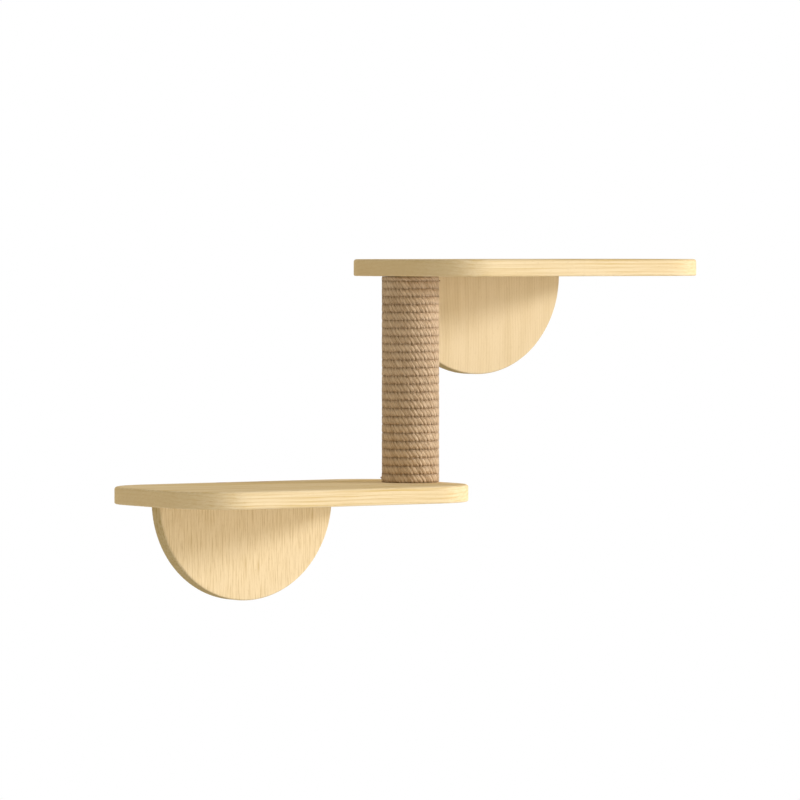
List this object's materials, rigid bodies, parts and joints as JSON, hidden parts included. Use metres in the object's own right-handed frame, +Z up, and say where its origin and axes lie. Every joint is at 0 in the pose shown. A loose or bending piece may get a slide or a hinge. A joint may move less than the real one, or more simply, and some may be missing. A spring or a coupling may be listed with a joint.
{
  "type": "cat climbing wall",
  "caption": "Wall-hung cat step unit: round-cornered pine shelf boards on half-round wall plates, joined by a sisal-wound scratching post.",
  "frame": {"origin": "on the wall plane, midway between the two keyhole entries of the lower wall plate", "axes": "+X along the wall to the right as seen from the room, +Y into the wall, +Z up"},
  "size_m": [0.549, 0.18, 0.303],
  "materials": {
    "pine": "clear satin lacquer on pale pine",
    "cap_wood": "sanded flush and lacquered",
    "hardwood": "bare turned beech",
    "kraft_tube": "raw wound kraft paper",
    "sisal": "natural twisted sisal rope",
    "zinc_steel": "bright zinc plate",
    "coppered_wire": "copper-washed steel wire",
    "bolt_steel": "nickel-plated",
    "insert_zinc": "cast zinc alloy"
  },
  "bodies": {
    "root": {"lower_hanger_screws": "zinc_steel", "lower_left_hanger": "zinc_steel", "lower_post_bolt": "bolt_steel", "lower_post_plug": "hardwood", "lower_right_hanger": "zinc_steel", "lower_screw_caps": "cap_wood", "lower_shelf_board": "pine", "lower_shelf_dowels": "hardwood", "lower_shelf_screws": "zinc_steel", "lower_threaded_insert": "insert_zinc", "lower_wall_plate": "pine", "post_core_tube": "kraft_tube", "rope_end_staples": "coppered_wire", "sisal_rope": "sisal", "upper_hanger_screws": "zinc_steel", "upper_left_hanger": "zinc_steel", "upper_post_bolt": "bolt_steel", "upper_post_plug": "hardwood", "upper_right_hanger": "zinc_steel", "upper_screw_caps": "cap_wood", "upper_shelf_board": "pine", "upper_shelf_dowels": "hardwood", "upper_shelf_screws": "zinc_steel", "upper_threaded_insert": "insert_zinc", "upper_wall_plate": "pine"}
  },
  "joints": []
}
